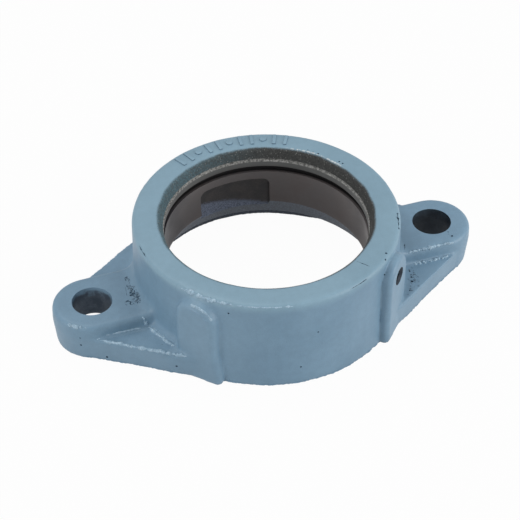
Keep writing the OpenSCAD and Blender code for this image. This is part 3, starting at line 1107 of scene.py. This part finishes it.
pit_places = [on_wall(-125, 36.9), on_wall(-87.9, 25.4), on_wall(-95.1, 8.6), on_wall(-50.8, 35.3)]
pit_places += [Vector(place_at) * MM for place_at in (
    (-49.7, -33.9, 4.5), (-83.4, -13.2, 11.6), (-83.2, -12.9, 7.4), (-74.1, -17.8, 2.2),
    (30.6, 33.9, 41.5), (32.2, 31.9, 41.5), (33.9, 30.2, 41.5), (40.3, 22.2, 41.5), (41.2, 20.6, 41.5),
    (50.2, -16.7, 41.5), (49.2, -19.6, 41.5), (48.2, -22.4, 41.4), (47.3, -25, 41.2),
    (35.1, -40.5, 41.2), (36.6, -37.8, 41.5), (56.2, -20, 11), (55.6, -23.5, 11), (54.8, -26, 11),
    (51.5, -31, 11), (78.3, -8.6, 17.3), (78.8, -11.5, 17.3), (75.5, -6.5, 17.3))]
seen_pits = len(pit_places)
strewn = random.Random(PIT_SEED)
while len(pit_places) < seen_pits + STREWN_PITS:
    face = housing.data.polygons[strewn.randrange(len(housing.data.polygons))]
    clear = all((face.center - other).length > PIT_CLEAR for other in pit_places)
    hidden = face.normal.dot(back) < FACING_AWAY and face.material_index == 0
    if clear and hidden and face.center.z > MM and face.center.xy.length > LIP_R + PIT_CLEAR:
        pit_places.append(face.center.copy())
pits = []
for guess in pit_places:
    spot, normal = on_skin(guess)
    radius = PIT_SIZE * strewn.uniform(*PIT_SPAN)
    pits.append(ball(radius, spot + PIT_RISE * radius * normal))
pit_tool = joined(pits[-1], pits)
settle()
# The pits' walls take the dark pit finish, a painted shade.
combine(housing, pit_tool, "DIFFERENCE", pit_shade)
print(len(pits), "pits, casting has", len(housing.data.polygons), "faces")

# %% [markdown]
# A foundry raises plain marks on the front face to tell its moulds apart. A row of low bars and
# pips stands along the far side of the ring. Each one is a simple solid with rounded edges, and
# its flanks take the darker crust finish.

# %% Plain foundry marks
MARK_R = 49.5 * MM
MARK_LIFT = 0.5 * MM
MARK_DEPTH = 2.4 * MM
MARK_WIDTH = 1.5 * MM
MARK_FIRST = 117
MARK_STEP = 5.6
MARK_COUNT = 11
BAR_LENGTH = 6.2 * MM
MARK_BEVEL = 0.2 * MM
MARK_UPWARD = 0.5


def mark(number):
    """One bar of the row, or a pip in every third place."""
    turn = radians(MARK_FIRST - MARK_STEP * number)
    middle = Vector((MARK_R * cos(turn), MARK_R * sin(turn),
                     RING_TOP + SKIN_THICK + MARK_LIFT - MARK_DEPTH / 2))
    deselect()
    if number % 3 == 2:
        bpy.ops.mesh.primitive_cylinder_add(vertices=32, radius=MARK_WIDTH, depth=MARK_DEPTH,
                                            location=middle)
    else:
        bpy.ops.mesh.primitive_cube_add(size=1, location=middle, rotation=(0, 0, turn),
                                        scale=(BAR_LENGTH, MARK_WIDTH, MARK_DEPTH))
    made = bpy.context.object
    settle()
    modifier(made, "BEVEL", width=MARK_BEVEL, segments=2, limit_method="ANGLE")
    made.data.materials.append(paint)
    made.data.materials.append(burnt_sand)
    for face in made.data.polygons:
        face.material_index = 0 if face.normal.z > MARK_UPWARD else 1
    return made


marks = [mark(number) for number in range(MARK_COUNT)]
combine(housing, joined(marks[0], marks), "UNION")
print(len(marks), "foundry marks, casting has", len(housing.data.polygons), "faces")

# %% [markdown]
# Now the machining. One turned tool cuts the lip with its bevel, the groove and the spherical
# seat at once, because a lathe cuts them in one clamping.

# %% Turned bore
SEAT_STEPS = 14
REACH = 10 * MM
BEVEL_PAST = 0.35 * MM

seat_arc = []
for i in range(SEAT_STEPS + 1):
    height = SEAT_LOW + (SEAT_TOP - SEAT_LOW) * i / SEAT_STEPS
    seat_arc.append((sqrt(SEAT_R ** 2 - (height - SEAT_Z) ** 2), height))
bore_tool = turned("bore_tool", [
    (0, -REACH), (SEAT_LOW_R, -REACH), *seat_arc,
    (GROOVE_R, SEAT_TOP), (GROOVE_R, LIP_LOW), (LIP_R, LIP_LOW), (LIP_R, LIP_HIGH),
    (MOUTH_R + BEVEL_PAST, MOUTH_LOW + BEVEL_PAST), (LIP_R, MOUTH_LOW + LIP_BEVEL),
    (LIP_R, RING_TOP + REACH), (0, RING_TOP + REACH),
])
combine(housing, bore_tool, "DIFFERENCE", turned_iron)
print("bored casting:", len(housing.data.polygons), "faces")

# %% [markdown]
# The bearing goes in sideways through two slots across the bore. A bar with rounded upper
# corners, kept to a cylinder, cuts both at once.

# %% Loading slots
SLOT_LENGTH = 2 * COLLAR_R

deselect()
bpy.ops.mesh.primitive_cube_add(size=1, location=(0, 0, (SLOT_TOP - REACH) / 2))
slot_bar = bpy.context.object
slot_bar.scale = (SLOT_W, SLOT_LENGTH, SLOT_TOP + REACH)
settle()
for edge in slot_bar.data.edges:
    ends = [slot_bar.data.vertices[i].co for i in edge.vertices]
    edge.select = all(abs(co.z - SLOT_TOP) < MM for co in ends) and abs(ends[0].x - ends[1].x) < MM
mode("EDIT")
bpy.ops.mesh.select_mode(type="EDGE")
bpy.ops.mesh.bevel(offset=SLOT_CORNER, segments=8)
mode("OBJECT")
slot_round = turned("slot_round", [
    (0, -REACH), (SLOT_R, -REACH), (SLOT_R, SLOT_TOP + REACH), (0, SLOT_TOP + REACH)])
combine(slot_bar, slot_round, "INTERSECT")
combine(housing, slot_bar, "DIFFERENCE", cored_iron)
print("slotted casting:", len(housing.data.polygons), "faces")

# %% [markdown]
# Drills follow for the bolts and the grease nipple, whose hole is countersunk a little. A mill
# takes a thin cut off the mounting face, which the skin had made uneven.

# %% Drilled holes and milled face
SINK_DEPTH = 0.6 * MM
MILL_WIDTH = 0.3

for side in (-1, 1):
    foot = Vector((side * BOLT_X, 0, -REACH))
    drill = rod("bolt_drill", BOLT_R, foot, foot + Vector((0, 0, PAD_Z + 2 * REACH)))
    combine(housing, drill, "DIFFERENCE", drilled_iron)
drill = rod("grease_drill", GREASE_R, grease_height + (LIP_R - REACH / 2) * GREASE_OUT,
            grease_height + (BOSS_FACE + REACH) * GREASE_OUT, 48)
combine(housing, drill, "DIFFERENCE", drilled_iron)
sink_spot = grease_height + BOSS_FACE * GREASE_OUT
deselect()
bpy.ops.mesh.primitive_cone_add(
    vertices=48, radius1=GREASE_R, radius2=GREASE_R + 2 * SINK_DEPTH, depth=2 * SINK_DEPTH,
    location=sink_spot, rotation=GREASE_OUT.to_track_quat("Z", "Y").to_euler())
settle()
combine(housing, bpy.context.object, "DIFFERENCE", drilled_iron)
deselect()
bpy.ops.mesh.primitive_cube_add(size=1, location=(0, 0, -REACH / 2),
                                scale=(MILL_WIDTH, MILL_WIDTH, REACH))
settle()
combine(housing, bpy.context.object, "DIFFERENCE", milled_iron)
print("machined casting:", len(housing.data.polygons), "faces")

# %% [markdown]
# Smooth shading would bleed over the crisp edges of the cuts. Edges steeper than a set angle
# stay sharp, and so does every edge where one finish meets another.

# %% Shading
SHARP_ANGLE = radians(38)
only(housing)
bpy.ops.object.shade_smooth_by_angle(angle=SHARP_ANGLE)
finish_of_edge = {}
for face in housing.data.polygons:
    for key in face.edge_keys:
        finish_of_edge.setdefault(key, set()).add(face.material_index)
for edge in housing.data.edges:
    if len(finish_of_edge[edge.key]) > 1:
        edge.use_edge_sharp = True
triangles = sum(len(face.vertices) - 2 for face in housing.data.polygons)
print(triangles, "triangles in", len(housing.data.materials), "finishes")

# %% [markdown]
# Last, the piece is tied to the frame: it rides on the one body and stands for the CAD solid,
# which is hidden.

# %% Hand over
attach(housing, "root")
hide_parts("housing")
